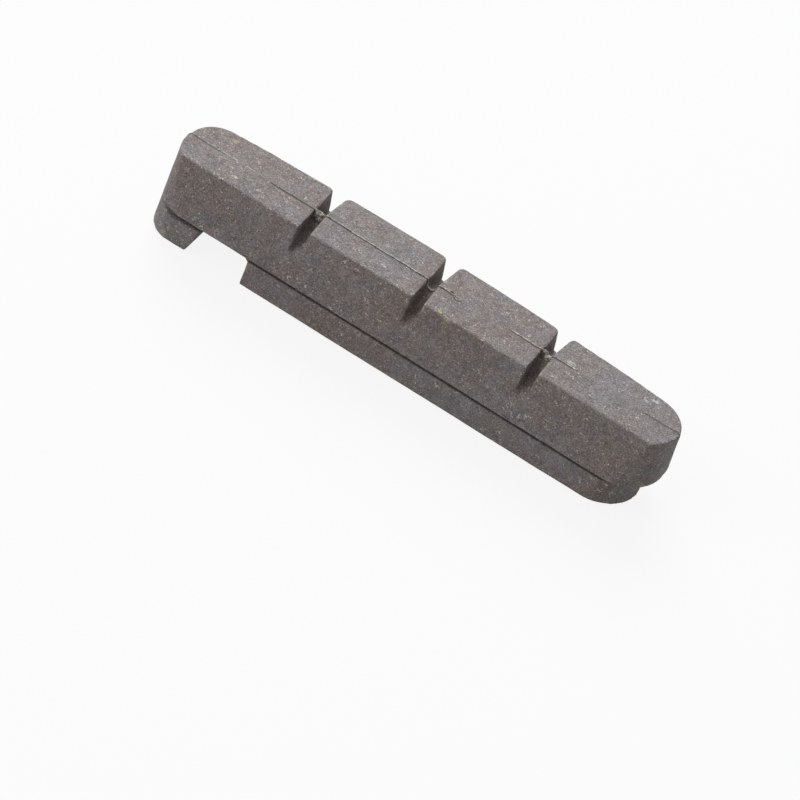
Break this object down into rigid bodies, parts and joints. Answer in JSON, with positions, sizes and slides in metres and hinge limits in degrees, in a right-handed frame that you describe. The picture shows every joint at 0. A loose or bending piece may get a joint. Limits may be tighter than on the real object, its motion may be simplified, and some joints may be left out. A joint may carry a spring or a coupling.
{
  "type": "rim brake pad",
  "caption": "Slide-in rim brake pad: a long block of friction compound with wear grooves, a hook and a rail on its back.",
  "frame": {"origin": "the back of the rail, on the parting plane, midway between the hook end and the round end", "axes": "+X from the hook end to the round end, +Y to the bowed side, +Z from the back of the rail to the braking face"},
  "size_m": [0.055, 0.0097, 0.0097],
  "materials": {
    "compound": "matte"
  },
  "bodies": {
    "root": {"pad_insert": "compound"}
  },
  "joints": []
}
